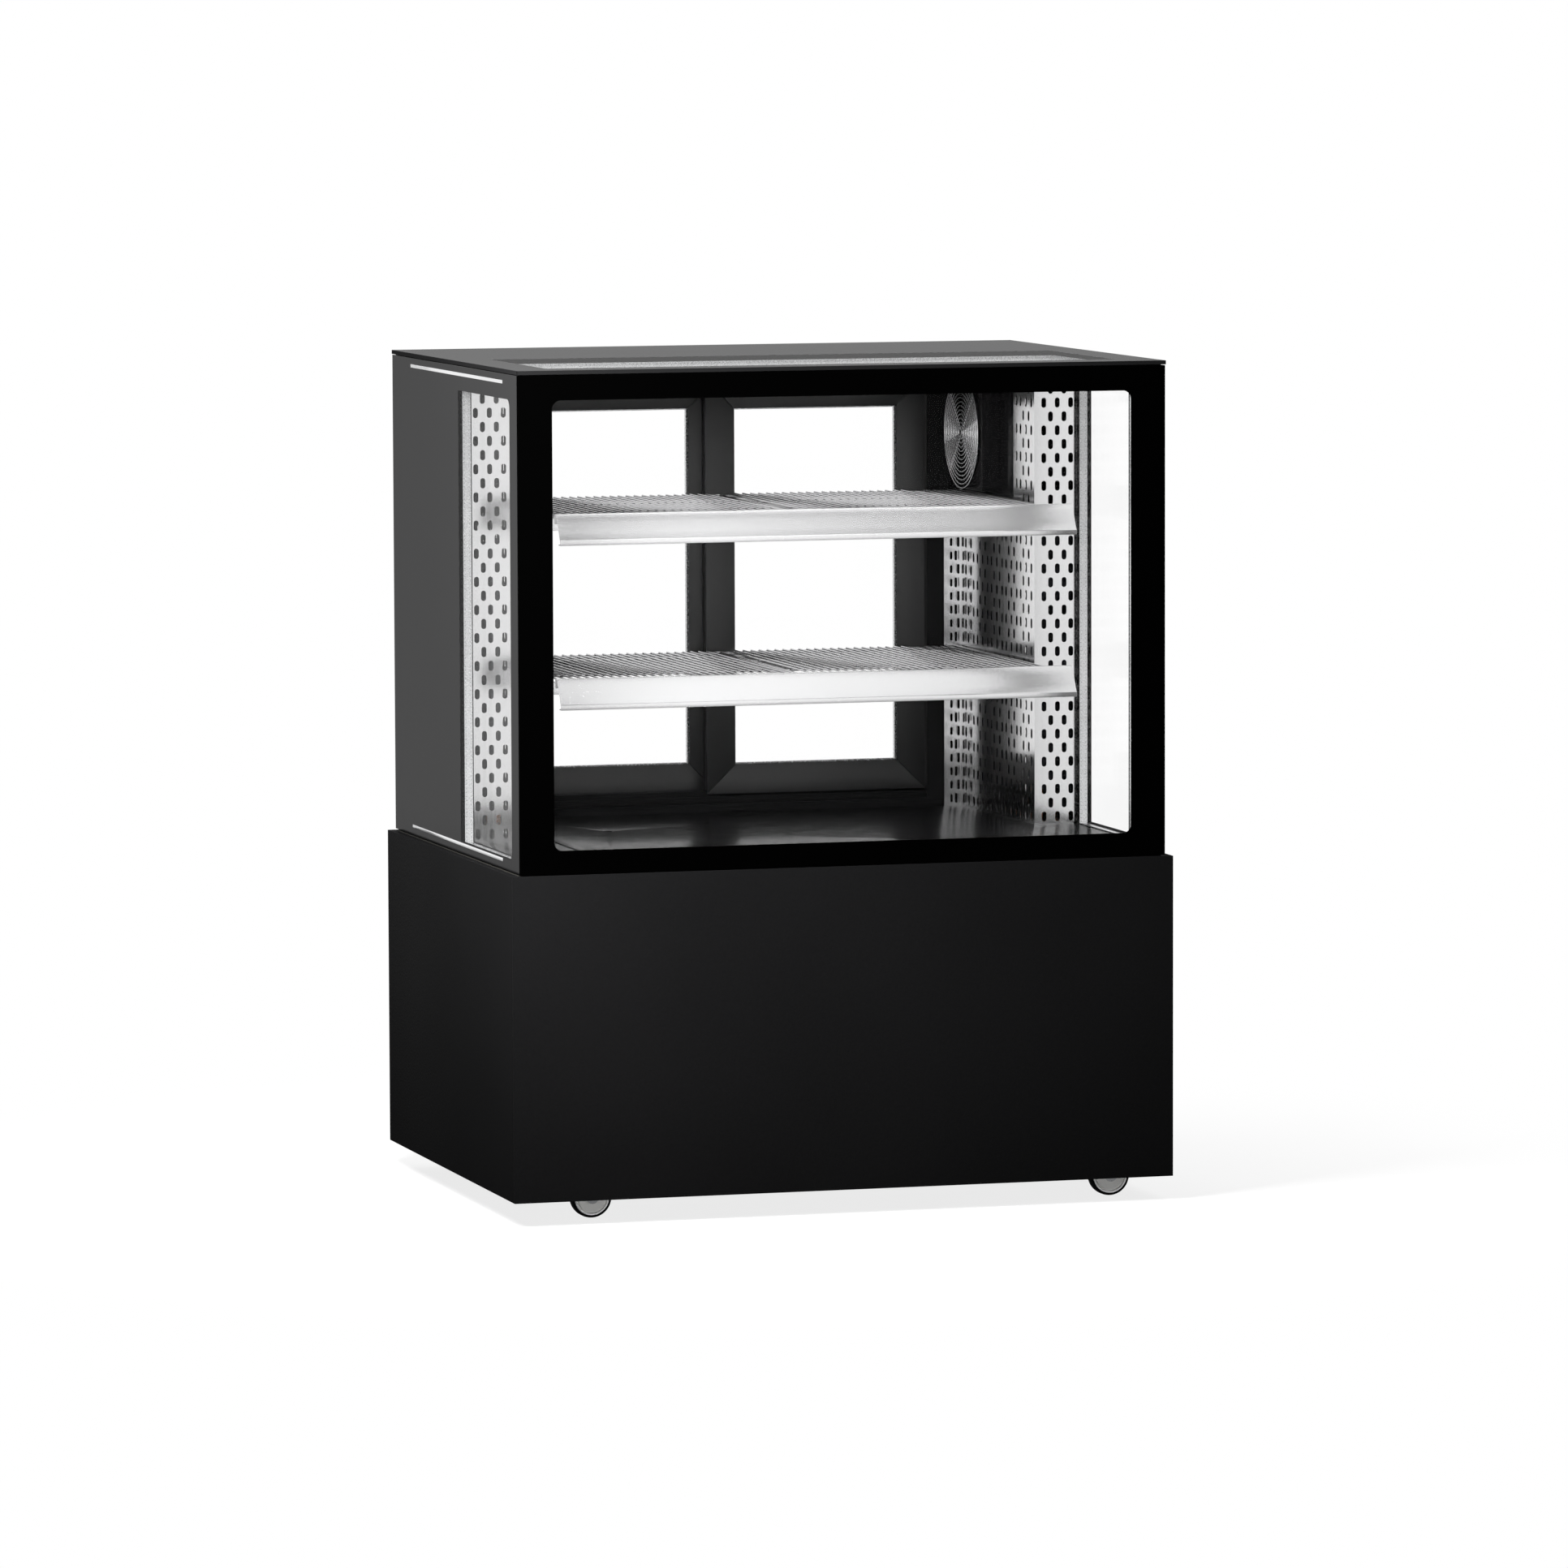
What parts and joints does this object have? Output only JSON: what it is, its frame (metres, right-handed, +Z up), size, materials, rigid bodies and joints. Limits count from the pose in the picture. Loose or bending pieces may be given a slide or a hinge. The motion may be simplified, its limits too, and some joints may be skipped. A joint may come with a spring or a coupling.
{
  "type": "refrigerated display case",
  "caption": "Glass refrigerated display case on a black cabinet base with hidden casters, wire shelves, perforated air ducts and sliding rear doors.",
  "frame": {"origin": "on the floor under the middle of the case's footprint", "axes": "+Z up, +X to the right seen from the customer side, -Y towards the customer"},
  "size_m": [1, 0.75, 1.235],
  "materials": {
    "base_coat": "fine black powder coat",
    "galvanised": "galvanised sheet",
    "foam": "foamed insulation",
    "black_shell": "black enamel",
    "coil": "mill finish fins",
    "motor": "black motor shell",
    "blade": "moulded blade",
    "copper": "drawn copper pipe",
    "tray": "pressed steel",
    "panel_plastic": "moulded bezel",
    "switch": "lit rocker",
    "caster_steel": "zinc plated",
    "wheel": "grey moulded wheel",
    "tyre": "black tread",
    "pedal": "moulded pedal",
    "profile": "black anodised profile",
    "glass": "clear glass with a black printed border",
    "spacer": "perforated spacer bar",
    "trim": "polished strip",
    "liner": "gloss black liner",
    "light": "satin channel",
    "door_glass": "clear double pane",
    "door_profile": "matte dark profile",
    "pull": "recessed cup",
    "stainless": "bright stainless sheet",
    "fan_black": "gloss black housing",
    "wire": "bright plated wire"
  },
  "bodies": {
    "case": {"chassis": "galvanised", "front_panel": "base_coat", "left_panel": "base_coat", "right_panel": "base_coat", "rear_panel": "base_coat", "rear_grille": "base_coat", "insulated_floor": "foam", "compressor": "black_shell", "condenser": "coil", "condenser_motor": "motor", "refrigerant_lines": "copper", "drip_tray": "tray", "control_panel": "panel_plastic", "cable_gland": "panel_plastic", "caster_plates": "caster_steel", "glass_frame": "profile", "front_glass": "glass", "left_glass": "glass", "right_glass": "glass", "top_glass": "glass", "spacer_bars": "spacer", "side_trims": "trim", "insulation_panels": "liner", "led_light": "light", "deck_tray": "liner", "rear_frame": "profile", "door_tracks": "profile", "left_duct": "stainless", "right_duct": "stainless", "fan_housings": "fan_black", "fan_guards": "wire", "fan_motors": "motor", "evaporators": "coil", "shelf_rails": "stainless", "shelf_frames": "stainless", "wire_racks": "wire"},
    "left_door": {"door_frame_left": "door_profile", "door_glass_left": "door_glass", "door_pull_left": "pull"},
    "right_door": {"door_frame_right": "door_profile", "door_glass_right": "door_glass", "door_pull_right": "pull"},
    "left_air_fan": {"fan_left": "blade"},
    "right_air_fan": {"fan_right": "blade"},
    "condenser_fan": {"condenser_blades": "blade"},
    "rocker": {"light_switch": "switch"},
    "left_brake": {"brake_left": "pedal"},
    "right_brake": {"brake_right": "pedal"},
    "swivel_front_left": {"fork_front_left": "caster_steel"},
    "roller_front_left": {"wheel_front_left": "wheel", "tyre_front_left": "tyre"},
    "swivel_front_right": {"fork_front_right": "caster_steel"},
    "roller_front_right": {"wheel_front_right": "wheel", "tyre_front_right": "tyre"},
    "swivel_rear_left": {"fork_rear_left": "caster_steel"},
    "roller_rear_left": {"wheel_rear_left": "wheel", "tyre_rear_left": "tyre"},
    "swivel_rear_right": {"fork_rear_right": "caster_steel"},
    "roller_rear_right": {"wheel_rear_right": "wheel", "tyre_rear_right": "tyre"}
  },
  "joints": [
    {"name": "left_door_slide", "type": "slide", "parent": "case", "child": "left_door", "axis": [1, 0, 0], "range_m": [0, 0.318]},
    {"name": "right_door_slide", "type": "slide", "parent": "case", "child": "right_door", "axis": [-1, 0, 0], "range_m": [0, 0.318]},
    {"name": "left_fan_spin", "type": "hinge", "parent": "case", "child": "left_air_fan", "pos_m": [-0.384, 0.228, 1.102], "axis": [1, 0, 0], "continuous": true},
    {"name": "right_fan_spin", "type": "hinge", "parent": "case", "child": "right_air_fan", "pos_m": [0.384, 0.228, 1.102], "axis": [1, 0, 0], "continuous": true},
    {"name": "condenser_fan_spin", "type": "hinge", "parent": "case", "child": "condenser_fan", "pos_m": [0.19, 0.229, 0.237], "axis": [0, 1, 0], "continuous": true},
    {"name": "switch_rock", "type": "hinge", "parent": "case", "child": "rocker", "pos_m": [0.372, 0.3565, 0.448], "axis": [1, 0, 0], "range_deg": [-14, 0]},
    {"name": "swivel_front_left", "type": "hinge", "parent": "case", "child": "swivel_front_left", "pos_m": [-0.396, -0.289, 0.07], "axis": [0, 0, 1], "continuous": true},
    {"name": "roll_front_left", "type": "hinge", "parent": "swivel_front_left", "child": "roller_front_left", "pos_m": [-0.364, -0.289, 0.03], "axis": [0, 1, 0], "continuous": true},
    {"name": "swivel_front_right", "type": "hinge", "parent": "case", "child": "swivel_front_right", "pos_m": [0.396, -0.289, 0.07], "axis": [0, 0, 1], "continuous": true},
    {"name": "roll_front_right", "type": "hinge", "parent": "swivel_front_right", "child": "roller_front_right", "pos_m": [0.428, -0.289, 0.03], "axis": [0, 1, 0], "continuous": true},
    {"name": "swivel_rear_left", "type": "hinge", "parent": "case", "child": "swivel_rear_left", "pos_m": [-0.396, 0.289, 0.07], "axis": [0, 0, 1], "continuous": true},
    {"name": "roll_rear_left", "type": "hinge", "parent": "swivel_rear_left", "child": "roller_rear_left", "pos_m": [-0.364, 0.289, 0.03], "axis": [0, 1, 0], "continuous": true},
    {"name": "swivel_rear_right", "type": "hinge", "parent": "case", "child": "swivel_rear_right", "pos_m": [0.396, 0.289, 0.07], "axis": [0, 0, 1], "continuous": true},
    {"name": "roll_rear_right", "type": "hinge", "parent": "swivel_rear_right", "child": "roller_rear_right", "pos_m": [0.428, 0.289, 0.03], "axis": [0, 1, 0], "continuous": true},
    {"name": "left_brake_press", "type": "hinge", "parent": "swivel_front_left", "child": "left_brake", "pos_m": [-0.34, -0.289, 0.058], "axis": [0, 1, 0], "range_deg": [0, 20]},
    {"name": "right_brake_press", "type": "hinge", "parent": "swivel_front_right", "child": "right_brake", "pos_m": [0.452, -0.289, 0.058], "axis": [0, 1, 0], "range_deg": [0, 20]}
  ]
}
